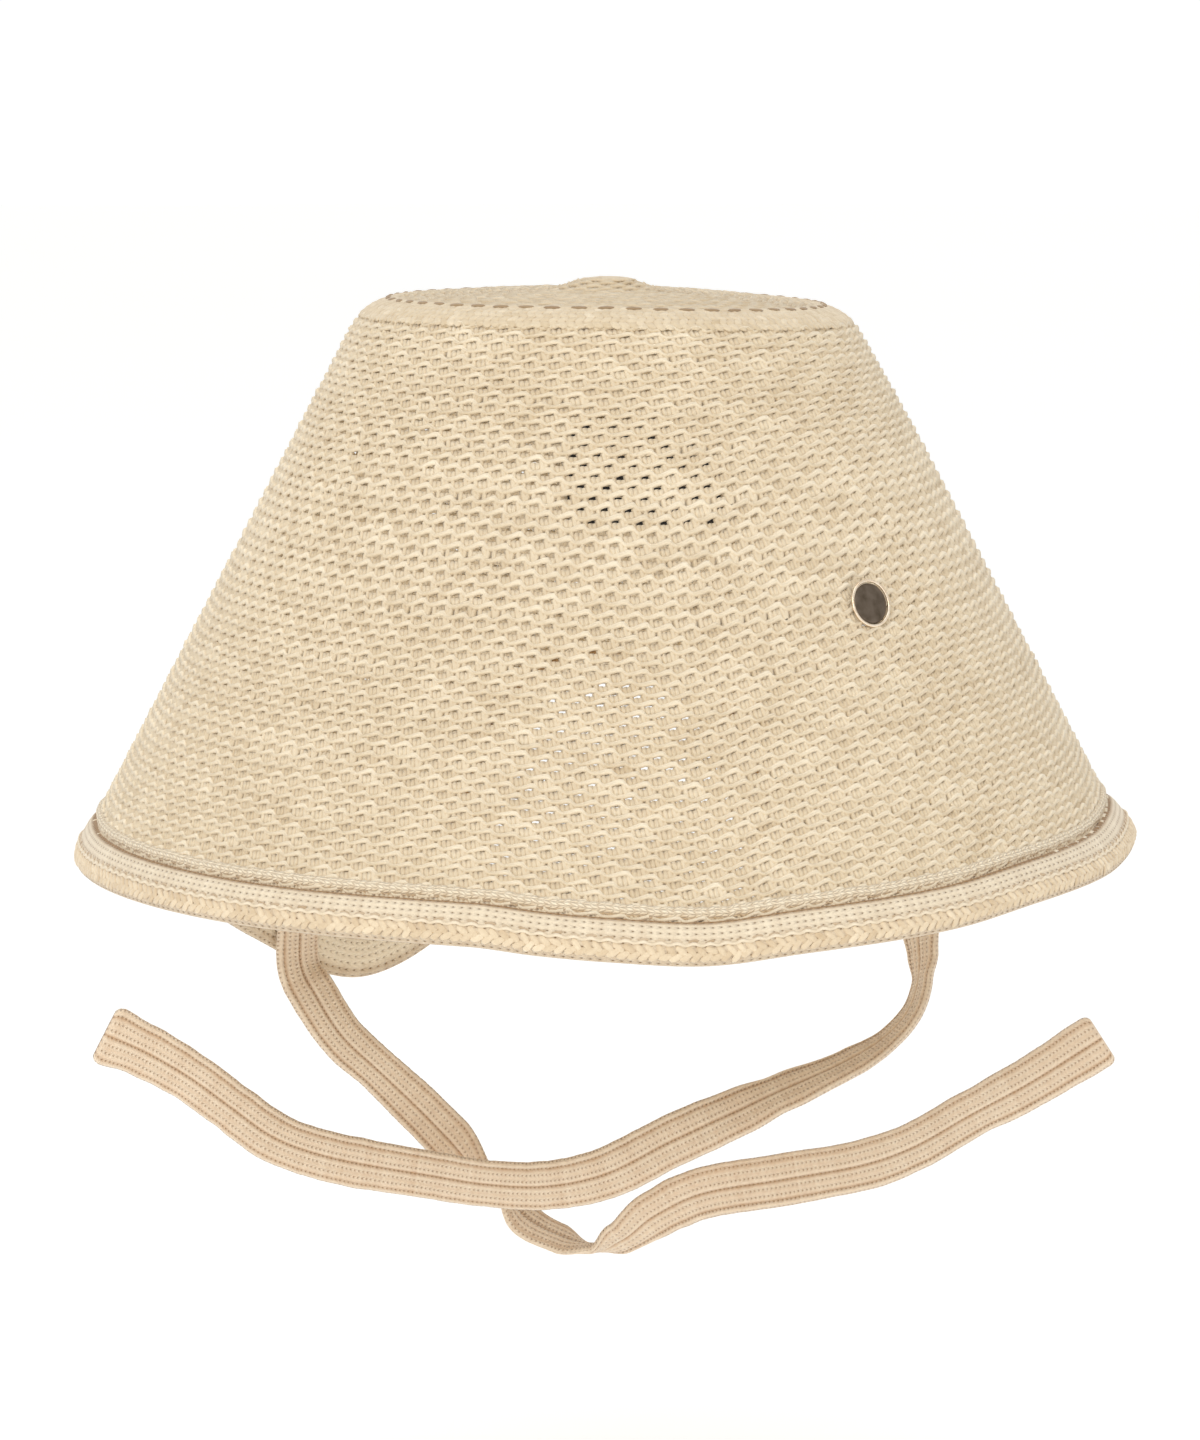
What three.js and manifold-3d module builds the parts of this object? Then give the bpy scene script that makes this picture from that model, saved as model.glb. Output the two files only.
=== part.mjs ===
// A knitted baby sun hat: a flat crown, a flared side with an arched gap at the back,
// a folded hem, two ribbed ties, a small round badge and a woven patch inside.
// Millimetres, +Z up, the front of the hat towards -Y, azimuths from the front towards +X.
// The origin is where the head meets the middle of the crown's underside.
import * as THREE from "three";
import { mergeVertices } from "three/addons/utils/BufferGeometryUtils.js";
import Module from "manifold-3d";

// Sizes of the knitted body
const wall = 2.8;
const crownRadius = 62.3;
const crownDome = 2;
const shoulderRadius = 15;
const flareAngle = 27.8;
const rimRadius = 140.5;
const rimTurnRadius = 40;
const rimDrop = 148;
const tipRadius = 9;
const tipRise = 3;
const crownLean = 2;

// Sizes of the arched gap at the back
const notchAzimuth = 179;
const notchHalfWidth = 34;
const notchRise = 73.5;

// Sizes of the hem and its seam
const hemHeight = 13;
const hemThickness = 5.4;
const ridgeHeight = 2.6;
const ridgeProud = 0.9;

// Sizes of the ties
const tieLength = 295;
const tieWidth = 15;
const tieThickness = 3;
const tieRibs = 4;
const ribDepth = 0.5;
const tieSewnHeight = 13;
const leftTieAzimuth = -139.5;
const rightTieAzimuth = 138.5;

// Sizes of the badge and the inside patch
const badgeAzimuth = 39.9;
const badgeDrop = 71.2;
const badgeRadius = 6.1;
const badgeRimWidth = 0.8;
const badgeHeight = 1.3;
const postRadius = 1.2;
const washerRadius = 4;
const washerHeight = 0.8;
const labelAzimuth = 173;
const labelDrop = 51;
const labelWidth = 43;
const labelHeight = 31;
const labelThickness = 0.8;

// Gaps between neighbours, and between a tie's middle and the curved hem it is sewn to
const gap = 0.3;
const tieSeatGap = 0.7;

// How finely the curved pieces are divided
const columnCount = 100;
const notchFineness = 1.8;
const tieSteps = 38;
const roundSides = 20;

// The rim all round: how far it hangs, as a share of rimDrop, how tall the hem is there, as
// a share of hemHeight, and how far its lower edge leans out, as a share of hemThickness
const rimTable = [
  { azimuth: 0, drop: 1.008, hem: 0.85, lean: 0 },
  { azimuth: 10, drop: 1.017, hem: 0.85, lean: 0 },
  { azimuth: 20, drop: 1.004, hem: 0.85, lean: 0 },
  { azimuth: 38, drop: 0.988, hem: 0.85, lean: 0 },
  { azimuth: 50, drop: 0.971, hem: 0.85, lean: 0 },
  { azimuth: 66, drop: 0.963, hem: 0.9, lean: 0.18 },
  { azimuth: 90, drop: 0.956, hem: 1.05, lean: 0.45 },
  { azimuth: 110, drop: 1.03, hem: 1.1, lean: 0.25 },
  { azimuth: 130, drop: 1.16, hem: 1.1, lean: 0 },
  { azimuth: 150, drop: 1.25, hem: 1.05, lean: 0 },
  { azimuth: 180, drop: 1.27, hem: 0.95, lean: 0 },
  { azimuth: 199, drop: 1.32, hem: 1.05, lean: 0 },
  { azimuth: 212, drop: 1.357, hem: 1.05, lean: 0 },
  { azimuth: 226, drop: 1.25, hem: 1.1, lean: 0 },
  { azimuth: 242, drop: 1.1, hem: 1.1, lean: 0 },
  { azimuth: 256, drop: 1.02, hem: 1.1, lean: 0 },
  { azimuth: 270, drop: 0.992, hem: 1.05, lean: 0 },
  { azimuth: 290, drop: 0.985, hem: 0.9, lean: 0 },
  { azimuth: 320, drop: 0.986, hem: 0.85, lean: 0 },
  { azimuth: 346, drop: 0.988, hem: 0.85, lean: 0 },
  { azimuth: 353, drop: 0.999, hem: 0.85, lean: 0 },
];

// Rings of the crown, as shares of its flat radius, and of the side, as shares of its fall
const crownRings = [0.1, 0.22, 0.45, 0.75, 1];
const shoulderRings = 3;
const sideRings = [0.22, 0.44, 0.62, 0.76, 0.88, 1];

// Section of the hem: height up the hem and place through its thickness, as shares
const hemSection = [
  { up: 1, through: 0.42 },
  { up: 0.72, through: 0.5 },
  { up: 0.3, through: 0.5 },
  { up: 0.06, through: 0.26 },
  { up: 0, through: -0.08 },
  { up: 0.1, through: -0.42 },
  { up: 0.45, through: -0.5 },
  { up: 1, through: -0.4 },
];

// Section of the seam ridge, in the same way
const ridgeSection = [
  { up: 1, through: 0.34 },
  { up: 0.5, through: 0.5 },
  { up: 0, through: 0.34 },
  { up: 0, through: -0.4 },
  { up: 0.5, through: -0.5 },
  { up: 1, through: -0.4 },
];

// Routes of the ties from where each is sewn, as shares of tieLength: across to +X, down,
// and fore towards the front. turn is the strap's turn about its own length in degrees,
// seated is how far it still lies along the hem, and width is a share of tieWidth.
const leftTieRoute = [
  { across: 0, down: 0, fore: 0, turn: 0, seated: 1, width: 1 },
  { across: 0, down: 0.05, fore: 0, turn: 0, seated: 1, width: 1 },
  { across: 0.013, down: 0.073, fore: 0.009, turn: 0, seated: 0.6, width: 0.96 },
  { across: 0.042, down: 0.115, fore: 0.02, turn: 0, seated: 0.3, width: 0.88 },
  { across: 0.077, down: 0.147, fore: 0.023, turn: 0, seated: 0, width: 0.86 },
  { across: 0.115, down: 0.183, fore: 0.026, turn: -4, seated: 0, width: 0.95 },
  { across: 0.143, down: 0.211, fore: 0.029, turn: -10, seated: 0, width: 1 },
  { across: 0.18, down: 0.25, fore: 0.029, turn: -62, seated: 0, width: 1 },
  { across: 0.217, down: 0.291, fore: 0.033, turn: -118, seated: 0, width: 1 },
  { across: 0.251, down: 0.31, fore: 0.033, turn: -110, seated: 0, width: 1 },
  { across: 0.281, down: 0.319, fore: 0.036, turn: -80, seated: 0, width: 1 },
  { across: 0.31, down: 0.308, fore: 0.04, turn: -38, seated: 0, width: 1 },
  { across: 0.342, down: 0.284, fore: 0.046, turn: -10, seated: 0, width: 1 },
  { across: 0.385, down: 0.262, fore: 0.053, turn: 0, seated: 0, width: 1 },
  { across: 0.466, down: 0.246, fore: 0.06, turn: 6, seated: 0, width: 1 },
  { across: 0.548, down: 0.23, fore: 0.06, turn: 4, seated: 0, width: 0.97 },
  { across: 0.593, down: 0.214, fore: 0.053, turn: 0, seated: 0, width: 0.94 },
  { across: 0.643, down: 0.187, fore: 0.043, turn: -6, seated: 0, width: 0.94 },
  { across: 0.698, down: 0.159, fore: 0.036, turn: 0, seated: 0, width: 1 },
  { across: 0.77, down: 0.111, fore: 0.046, turn: 6, seated: 0, width: 1.08 },
];
const rightTieRoute = [
  { across: 0, down: 0, fore: 0, turn: 0, seated: 1, width: 1 },
  { across: 0, down: 0.05, fore: 0, turn: 0, seated: 1, width: 1 },
  { across: 0.003, down: 0.084, fore: 0.01, turn: -26, seated: 0.7, width: 0.9 },
  { across: 0.002, down: 0.108, fore: 0.019, turn: -58, seated: 0.4, width: 0.85 },
  { across: -0.008, down: 0.134, fore: 0.033, turn: -76, seated: 0, width: 0.85 },
  { across: -0.031, down: 0.159, fore: 0.042, turn: -76, seated: 0, width: 0.9 },
  { across: -0.07, down: 0.181, fore: 0.053, turn: -68, seated: 0, width: 0.95 },
  { across: -0.135, down: 0.207, fore: 0.066, turn: -50, seated: 0, width: 0.95 },
  { across: -0.181, down: 0.226, fore: 0.073, turn: -28, seated: 0, width: 0.97 },
  { across: -0.236, down: 0.249, fore: 0.08, turn: -8, seated: 0, width: 1 },
  { across: -0.304, down: 0.282, fore: 0.083, turn: 0, seated: 0, width: 1 },
  { across: -0.36, down: 0.293, fore: 0.083, turn: 4, seated: 0, width: 0.95 },
  { across: -0.414, down: 0.291, fore: 0.083, turn: 4, seated: 0, width: 0.92 },
  { across: -0.47, down: 0.283, fore: 0.08, turn: 0, seated: 0, width: 0.92 },
  { across: -0.568, down: 0.267, fore: 0.07, turn: -4, seated: 0, width: 0.97 },
  { across: -0.618, down: 0.251, fore: 0.06, turn: -6, seated: 0, width: 0.97 },
  { across: -0.66, down: 0.223, fore: 0.05, turn: 0, seated: 0, width: 0.97 },
  { across: -0.7, down: 0.195, fore: 0.043, turn: 4, seated: 0, width: 1 },
  { across: -0.742, down: 0.17, fore: 0.046, turn: 0, seated: 0, width: 1.05 },
  { across: -0.779, down: 0.151, fore: 0.056, turn: 0, seated: 0, width: 1.2 },
];

// Width of a tie's rounded end: how far before the end, and the share of the width
const tieEndRows = [
  { before: 2.4, width: 1 },
  { before: 0.8, width: 0.94 },
  { before: 0, width: 0.8 },
];

const degrees = Math.PI / 180;
const flare = flareAngle * degrees;
const crownPlane = wall - crownDome;

// Where the flared side would reach rimRadius, and the arc that turns it upright there
const meetDrop = crownPlane - (rimRadius - crownRadius) / Math.tan(flare);
const turnTangent = rimTurnRadius * Math.tan(flare / 2);
const turnEnd = meetDrop - turnTangent;
const turnStart = turnEnd + rimTurnRadius * Math.sin(flare);

// The rounded shoulder between the crown and the side
const shoulderTangent = shoulderRadius * Math.tan((Math.PI / 2 - flare) / 2);
const shoulderStart = crownRadius - shoulderTangent;
const shoulderEnd = crownPlane - shoulderTangent * Math.cos(flare);

// Outer radius of the side at a height, and its lean from upright there
function sideRadius(z) {
  if (z > turnStart) return crownRadius + Math.tan(flare) * (crownPlane - z);
  if (z < turnEnd) return rimRadius;
  const above = z - turnEnd;
  return rimRadius - rimTurnRadius + Math.sqrt(rimTurnRadius ** 2 - above ** 2);
}

function sideLean(z) {
  if (z > turnStart) return flare;
  if (z < turnEnd) return 0;
  return Math.asin((z - turnEnd) / rimTurnRadius);
}

// Outward normal of the side, and a point a given way out from its outer surface
function sideNormal(azimuth, z) {
  const lean = sideLean(z);
  const a = azimuth * degrees;
  return new THREE.Vector3(Math.sin(a) * Math.cos(lean), -Math.cos(a) * Math.cos(lean), Math.sin(lean));
}

function onSide(azimuth, z, out) {
  const a = azimuth * degrees;
  const radius = sideRadius(z);
  const point = new THREE.Vector3(radius * Math.sin(a), -radius * Math.cos(a), z);
  return point.addScaledVector(sideNormal(azimuth, z), out);
}

// A smooth periodic curve through one column of the rim table
function rimValue(azimuth, column) {
  const count = rimTable.length;
  const turned = ((azimuth % 360) + 360) % 360;
  let low = count - 1;
  while (rimTable[low].azimuth > turned) low -= 1;
  const row = (step) => {
    const index = low + step;
    const turns = Math.floor(index / count);
    const found = rimTable[index - turns * count];
    return { at: found.azimuth + 360 * turns, value: found[column] };
  };
  const [before, start, end, after] = [row(-1), row(0), row(1), row(2)];
  const span = end.at - start.at;
  const share = (turned - start.at) / span;
  const slopeIn = ((end.value - before.value) / (end.at - before.at)) * span;
  const slopeOut = ((after.value - start.value) / (after.at - start.at)) * span;
  const s2 = share * share;
  const s3 = s2 * share;
  return (
    (2 * s3 - 3 * s2 + 1) * start.value +
    (s3 - 2 * s2 + share) * slopeIn +
    (3 * s2 - 2 * s3) * end.value +
    (s3 - s2) * slopeOut
  );
}

// Height of the rim's lowest edge, with the bell-shaped gap at the back
function rimHeight(azimuth) {
  const off = ((azimuth - notchAzimuth + 540) % 360) - 180;
  const share = Math.abs(off * degrees * rimRadius) / notchHalfWidth;
  return -rimDrop * rimValue(azimuth, "drop") + notchRise / (1 + share ** 6);
}

// Length of a short step over the side, along the surface
function surfaceStep(azimuth, z, nextAzimuth, nextZ) {
  const along = (nextAzimuth - azimuth) * degrees * sideRadius(z);
  const down = (nextZ - z) / Math.cos(sideLean(z));
  return new THREE.Vector2(along, down);
}

// Places on the rim, equally far apart along it but closer together round the gap
function rimStations() {
  const fine = 4;
  const samples = 360 * fine;
  const lengths = [0];
  for (let i = 1; i <= samples; i += 1) {
    const [a, b] = [(i - 1) / fine, i / fine];
    const nearGap = Math.abs(a - notchAzimuth) * degrees * rimRadius < notchHalfWidth * 1.6;
    const step = surfaceStep(a, rimHeight(a), b, rimHeight(b)).length();
    lengths.push(lengths[i - 1] + step * (nearGap ? notchFineness : 1));
  }
  const stations = [];
  let i = 0;
  for (let k = 0; k < columnCount; k += 1) {
    const target = (lengths[samples] * k) / columnCount;
    while (lengths[i + 1] <= target) i += 1;
    const azimuth = (i + (target - lengths[i]) / (lengths[i + 1] - lengths[i])) / fine;
    const z = rimHeight(azimuth);
    const [before, after] = [azimuth - 1 / fine, azimuth + 1 / fine];
    const run = surfaceStep(before, rimHeight(before), after, rimHeight(after)).normalize();
    const hem = hemHeight * rimValue(azimuth, "hem");
    const lean = hemThickness * rimValue(azimuth, "lean");
    stations.push({ azimuth, z, inward: new THREE.Vector2(-run.y, run.x), hem, lean });
  }
  return stations;
}
const stations = rimStations();

// A place a given way in from the rim, over the side's surface
function inFromRim(station, distance) {
  const azimuth = station.azimuth + (distance * station.inward.x) / sideRadius(station.z) / degrees;
  return { azimuth, z: station.z + distance * station.inward.y * Math.cos(sideLean(station.z)) };
}

// A geometry from points and triangles
function solid(points, triangles) {
  const geometry = new THREE.BufferGeometry();
  const flat = points.flatMap((point) => point.toArray());
  geometry.setAttribute("position", new THREE.Float32BufferAttribute(flat, 3));
  geometry.setIndex(triangles);
  return geometry;
}

// Skins a row of closed sections; the row closes on itself or is capped at both ends
function skin(sections, closes) {
  const size = sections[0].length;
  const count = sections.length;
  const points = sections.flat();
  const triangles = [];
  const spans = closes ? count : count - 1;
  for (let i = 0; i < spans; i += 1) {
    const here = i * size;
    const next = ((i + 1) % count) * size;
    for (let j = 0; j < size; j += 1) {
      const k = (j + 1) % size;
      triangles.push(here + j, here + k, next + j, next + j, here + k, next + k);
    }
  }
  if (!closes) {
    for (const [index, first] of [[0, true], [count - 1, false]]) {
      const middle = new THREE.Vector3();
      sections[index].forEach((point) => middle.addScaledVector(point, 1 / size));
      points.push(middle);
      for (let j = 0; j < size; j += 1) {
        const k = (j + 1) % size;
        const [a, b] = [index * size + j, index * size + k];
        triangles.push(...(first ? [b, a, points.length - 1] : [a, b, points.length - 1]));
      }
    }
  }
  return solid(points, triangles);
}

// Skins columns of points that all start at one pole and end at another
function skinBetweenPoles(top, columns, bottom) {
  const size = columns[0].length;
  const points = [...columns.flat(), top, bottom];
  const [topIndex, bottomIndex] = [points.length - 2, points.length - 1];
  const triangles = [];
  columns.forEach((column, i) => {
    const here = i * size;
    const next = ((i + 1) % columns.length) * size;
    triangles.push(topIndex, here, next);
    for (let j = 0; j < size - 1; j += 1) {
      triangles.push(here + j, here + j + 1, next + j, next + j, here + j + 1, next + j + 1);
    }
    triangles.push(here + size - 1, bottomIndex, next + size - 1);
  });
  return solid(points, triangles);
}

function mesh(name, geometry, colour, roughness, metalness) {
  const material = new THREE.MeshStandardMaterial({ color: colour, roughness, metalness });
  const piece = new THREE.Mesh(geometry, material);
  piece.name = name;
  return piece;
}

// One point of the crown or shoulder, on the outer face or on the inner one
function crownPoint(azimuth, ring, outer) {
  const a = azimuth * degrees;
  const flat = Math.min(1, ring);
  let radius = shoulderStart * flat;
  let z = crownPlane + crownDome * (1 - flat ** 2) - crownLean * Math.max(0, Math.sin(a)) * flat ** 2;
  if (outer) z += tipRise * Math.exp(-((radius / tipRadius) ** 2));
  else z -= wall;
  if (ring > 1) {
    const turn = (ring - 1) * (Math.PI / 2 - flare);
    const reach = outer ? shoulderRadius : shoulderRadius - wall;
    radius += reach * Math.sin(turn);
    z += reach * (Math.cos(turn) - 1);
  }
  return new THREE.Vector3(radius * Math.sin(a), -radius * Math.cos(a), z);
}

// Crown and side are one knitted shell, open below
function knitBodyGeometry() {
  const shoulders = Array.from({ length: shoulderRings }, (_, i) => 1 + (i + 1) / shoulderRings);
  const rings = [...crownRings, ...shoulders];
  const columns = stations.map((station, i) => {
    const top = (360 * i) / columnCount;
    const edge = inFromRim(station, station.hem + gap + ridgeHeight + gap);
    const sidePlace = (share) => ({
      azimuth: top + (edge.azimuth - top) * share,
      z: shoulderEnd + (edge.z - shoulderEnd) * share,
    });
    const outer = [
      ...rings.map((ring) => crownPoint(top, ring, true)),
      ...sideRings.map(sidePlace).map(({ azimuth, z }) => onSide(azimuth, z, 0)),
    ];
    const inner = [
      ...rings.map((ring) => crownPoint(top, ring, false)),
      ...sideRings.map(sidePlace).map(({ azimuth, z }) => onSide(azimuth, z, -wall)),
    ];
    return [...outer, ...inner.reverse()];
  });
  const top = new THREE.Vector3(0, 0, crownPlane + crownDome + tipRise);
  return skinBetweenPoles(top, columns, new THREE.Vector3(0, 0, 0));
}

// A band that follows the rim, starting a given way in from it, with its lower edge leant out
function rimBand(section, thickness, bandOf) {
  const sections = stations.map((station) => {
    const { start, tall, lean } = bandOf(station);
    return section.map(({ up, through }) => {
      const place = inFromRim(station, start + up * tall);
      return onSide(place.azimuth, place.z, through * thickness + lean * (1 - up) - wall / 2);
    });
  });
  return skin(sections, true);
}

// A strap's section: rounded edges and ribs that run along both faces
function strapSection(centre, across, face, width) {
  const points = [];
  const sides = tieRibs * 2;
  for (const side of [1, -1]) {
    for (let i = 0; i < sides; i += 1) {
      const share = (i / sides - 0.5) * side;
      const groove = i % 2 === 0 ? ribDepth : 0;
      const height = i === 0 ? 0 : (tieThickness / 2 - groove) * side;
      points.push(centre.clone().addScaledVector(across, share * width).addScaledVector(face, height));
    }
  }
  return points;
}

// A tie: its route from where it is sewn, skinned with the ribbed section
function tieGeometry(azimuth, route) {
  const out = -wall / 2 - hemThickness / 2 - tieSeatGap - tieThickness / 2;
  const root = onSide(azimuth, rimHeight(azimuth) + tieSewnHeight, out);
  const seatTurn = (180 - Math.abs(azimuth)) * -Math.sign(azimuth);
  const centres = route.map(({ across, down, fore }) =>
    new THREE.Vector3(across, -fore, -down).multiplyScalar(tieLength).add(root));
  const curve = new THREE.CatmullRomCurve3(centres, false, "centripetal");
  const total = curve.getLength();
  const ends = tieEndRows.map(({ before, width }) => ({ at: 1 - before / total, end: width }));
  const even = Array.from({ length: tieSteps }, (_, i) => ({ at: (i / tieSteps) * ends[0].at, end: 1 }));
  const sections = [...even, ...ends].map(({ at, end }) => {
    const share = curve.getUtoTmapping(at) * (route.length - 1);
    const low = Math.min(Math.floor(share), route.length - 2);
    const blend = THREE.MathUtils.smoothstep(share - low, 0, 1);
    const value = (column) => THREE.MathUtils.lerp(route[low][column], route[low + 1][column], blend);
    const along = curve.getTangentAt(at);
    const front = new THREE.Vector3(0, -1, 0);
    const face = front.addScaledVector(along, -front.dot(along)).normalize();
    const across = along.clone().cross(face);
    const turn = (value("turn") + value("seated") * seatTurn) * degrees;
    const turned = face.clone().multiplyScalar(Math.cos(turn)).addScaledVector(across, -Math.sin(turn));
    const wide = across.multiplyScalar(Math.cos(turn)).addScaledVector(face, Math.sin(turn));
    return strapSection(curve.getPointAt(at), wide, turned, tieWidth * value("width") * end);
  });
  return skin(sections, false);
}

// A turned piece of the badge: its outline as radius and height out from the knit
function turnedGeometry(outline) {
  const points = outline.map(([radius, height]) => new THREE.Vector2(radius, height));
  return new THREE.LatheGeometry(points, roundSides);
}

// The badge: a domed disc in a thin ring, and a post through the knit to a washer inside
function badge() {
  const faceRadius = badgeRadius - badgeRimWidth - gap;
  const ringRadius = badgeRadius - badgeRimWidth;
  const inside = -wall - gap;
  const group = new THREE.Group();
  group.add(
    mesh("badge_face", turnedGeometry([
      [0, gap], [faceRadius, gap], [faceRadius, badgeHeight * 0.7], [faceRadius * 0.6, badgeHeight * 0.95],
      [0, badgeHeight],
    ]), "#60534a", 0.4, 0.8),
    mesh("badge_rim", turnedGeometry([
      [ringRadius, gap], [badgeRadius, gap], [badgeRadius, badgeHeight * 0.8],
      [badgeRadius - badgeRimWidth / 2, badgeHeight], [ringRadius, badgeHeight * 0.8], [ringRadius, gap],
    ]), "#cdb497", 0.3, 1),
    mesh("badge_back", turnedGeometry([
      [0, inside - washerHeight], [washerRadius, inside - washerHeight], [washerRadius, inside],
      [postRadius, inside], [postRadius, 0], [0, 0],
    ]), "#8d8a84", 0.4, 1),
  );
  group.position.copy(onSide(badgeAzimuth, -badgeDrop, 0));
  group.quaternion.setFromUnitVectors(new THREE.Vector3(0, 1, 0), sideNormal(badgeAzimuth, -badgeDrop));
  return group;
}

// The woven patch that is sewn inside the back
function labelGeometry() {
  const steps = 6;
  const top = -labelDrop + labelHeight / 2;
  const bottom = top - labelHeight;
  const near = -wall - gap;
  const far = near - labelThickness;
  const halfAngle = labelWidth / 2 / sideRadius(-labelDrop) / degrees;
  const sections = Array.from({ length: steps + 1 }, (_, i) => {
    const azimuth = labelAzimuth + halfAngle * ((2 * i) / steps - 1);
    const corners = [[top, near], [bottom, near], [bottom, far], [top, far]];
    return corners.map(([z, out]) => onSide(azimuth, z, out));
  });
  return skin(sections, false);
}

// Turns a closed geometry into a solid that can be cut, and back again
const wasm = await Module();
wasm.setup();

function toManifold(geometry, matrix) {
  const bare = geometry.clone();
  bare.deleteAttribute("normal");
  bare.deleteAttribute("uv");
  bare.applyMatrix4(matrix);
  const merged = mergeVertices(bare);
  return new wasm.Manifold(new wasm.Mesh({
    numProp: 3,
    vertProperties: new Float32Array(merged.attributes.position.array),
    triVerts: new Uint32Array(merged.index.array),
  }));
}

function fromManifold(cut) {
  const { vertProperties, triVerts } = cut.getMesh();
  const geometry = new THREE.BufferGeometry();
  geometry.setAttribute("position", new THREE.Float32BufferAttribute(vertProperties, 3));
  geometry.setIndex(Array.from(triVerts));
  return geometry;
}

// The hole that the badge's post passes through
const badgeGroup = badge();
badgeGroup.updateMatrixWorld();
const postHole = new THREE.CylinderGeometry(postRadius + gap, postRadius + gap, wall * 3, roundSides / 2);
const whole = toManifold(knitBodyGeometry(), new THREE.Matrix4());
const pierced = whole.subtract(toManifold(postHole, badgeGroup.matrixWorld));

const ridgeThickness = wall + 2 * ridgeProud;
const ridgeOf = ({ hem }) => ({ start: hem + gap, tall: ridgeHeight, lean: 0 });
const hemOf = ({ hem, lean }) => ({ start: 0, tall: hem, lean });
const hat = new THREE.Group();
hat.add(
  mesh("knit_body", fromManifold(pierced), "#e4d2b3", 0.95, 0),
  mesh("seam_ridge", rimBand(ridgeSection, ridgeThickness, ridgeOf), "#d6c2a0", 0.95, 0),
  mesh("hem_band", rimBand(hemSection, hemThickness, hemOf), "#dccbab", 0.95, 0),
  mesh("left_tie", tieGeometry(leftTieAzimuth, leftTieRoute), "#e0caa8", 0.95, 0),
  mesh("right_tie", tieGeometry(rightTieAzimuth, rightTieRoute), "#e0caa8", 0.95, 0),
  badgeGroup,
  mesh("inner_label", labelGeometry(), "#211f1d", 0.9, 0),
);

export default hat;
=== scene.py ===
"""A knitted baby sun hat with ribbed ties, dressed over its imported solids.

Metres, +Z up, the front of the hat towards -Y, azimuths from the front towards +X.
"""

from math import cos, pi, radians, sin, tan

import bpy
import numpy as np
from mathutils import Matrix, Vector


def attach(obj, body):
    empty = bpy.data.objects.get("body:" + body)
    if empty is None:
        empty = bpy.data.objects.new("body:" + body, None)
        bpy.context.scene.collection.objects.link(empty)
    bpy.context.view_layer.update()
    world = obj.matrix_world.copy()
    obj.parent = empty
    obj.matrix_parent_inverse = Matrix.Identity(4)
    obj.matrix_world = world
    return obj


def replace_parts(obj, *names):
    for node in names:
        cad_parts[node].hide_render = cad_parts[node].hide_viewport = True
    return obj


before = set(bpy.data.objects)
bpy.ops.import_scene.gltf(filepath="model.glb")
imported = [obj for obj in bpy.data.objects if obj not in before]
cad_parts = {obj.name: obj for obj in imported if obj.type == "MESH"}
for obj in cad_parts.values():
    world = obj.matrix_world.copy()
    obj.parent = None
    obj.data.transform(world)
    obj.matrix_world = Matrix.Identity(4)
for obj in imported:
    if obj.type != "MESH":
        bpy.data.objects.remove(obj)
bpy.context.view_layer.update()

# The place: a plain pale floor some way under the hanging ties, and the camera a little
# above the brim, looking slightly down, as in the photograph. The light is a broad soft
# panel overhead, another low in front, and an even pale room all round.
camera_pitch = 7.57
floor_height = -0.345
bpy.ops.object.camera_add(location=(-0.0016, -1.318, 0.0652), rotation=(radians(90 - camera_pitch), 0, 0))
camera = bpy.context.object
camera.data.lens = 126.9
camera.data.sensor_width = 36
camera.data.clip_start = 0.05
camera.data.clip_end = 100
bpy.context.scene.camera = camera
bpy.context.scene.view_settings.view_transform = "Standard"
bpy.context.scene.view_settings.look = "None"


class Wire:
    """An output of a node tree, so that shader maths reads as plain expressions."""

    def __init__(self, tree, socket=None):
        self.tree = tree
        self.socket = socket

    def add(self, kind, settings=None, inputs=None, out=0):
        """Adds a node: first its settings, then the values or links of its sockets."""
        node = self.tree.nodes.new(kind)
        for name, value in (settings or {}).items():
            if name == "stops":
                while len(node.color_ramp.elements) < len(value):
                    node.color_ramp.elements.new(0.5)
                for element, (place, colour) in zip(node.color_ramp.elements, value):
                    element.position = place
                    element.color = (*colour, 1)
            else:
                setattr(node, name, value)
        for name, value in (inputs or {}).items():
            if isinstance(value, Wire):
                self.tree.links.new(value.socket, node.inputs[name])
            else:
                node.inputs[name].default_value = value
        return Wire(self.tree, node.outputs[out] if len(node.outputs) else None)

    def maths(self, operation, *values):
        return self.add("ShaderNodeMath", {"operation": operation}, dict(enumerate(values)))

    def __add__(self, other):
        return self.maths("ADD", self, other)

    def __radd__(self, other):
        return self.maths("ADD", other, self)

    def __sub__(self, other):
        return self.maths("SUBTRACT", self, other)

    def __rsub__(self, other):
        return self.maths("SUBTRACT", other, self)

    def __mul__(self, other):
        return self.maths("MULTIPLY", self, other)

    def __rmul__(self, other):
        return self.maths("MULTIPLY", other, self)

    def __truediv__(self, other):
        return self.maths("DIVIDE", self, other)


def empty_material(name):
    """A new material with no nodes yet, and the wire that its nodes are added by."""
    made = bpy.data.materials.new(name)
    made.use_nodes = True
    made.node_tree.nodes.clear()
    return made, Wire(made.node_tree)


world = bpy.data.worlds.new("pale_room")
world.use_nodes = True
world.node_tree.nodes.clear()
bpy.context.scene.world = world
room = Wire(world.node_tree)
seen = room.add("ShaderNodeLightPath", out="Is Camera Ray")
room_light = 0.8
extra_behind = 0.24
glow = seen * extra_behind + room_light
light = room.add("ShaderNodeBackground", inputs={"Color": (1.0, 0.995, 0.985, 1), "Strength": glow})
room.add("ShaderNodeOutputWorld", inputs={"Surface": light})

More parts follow.
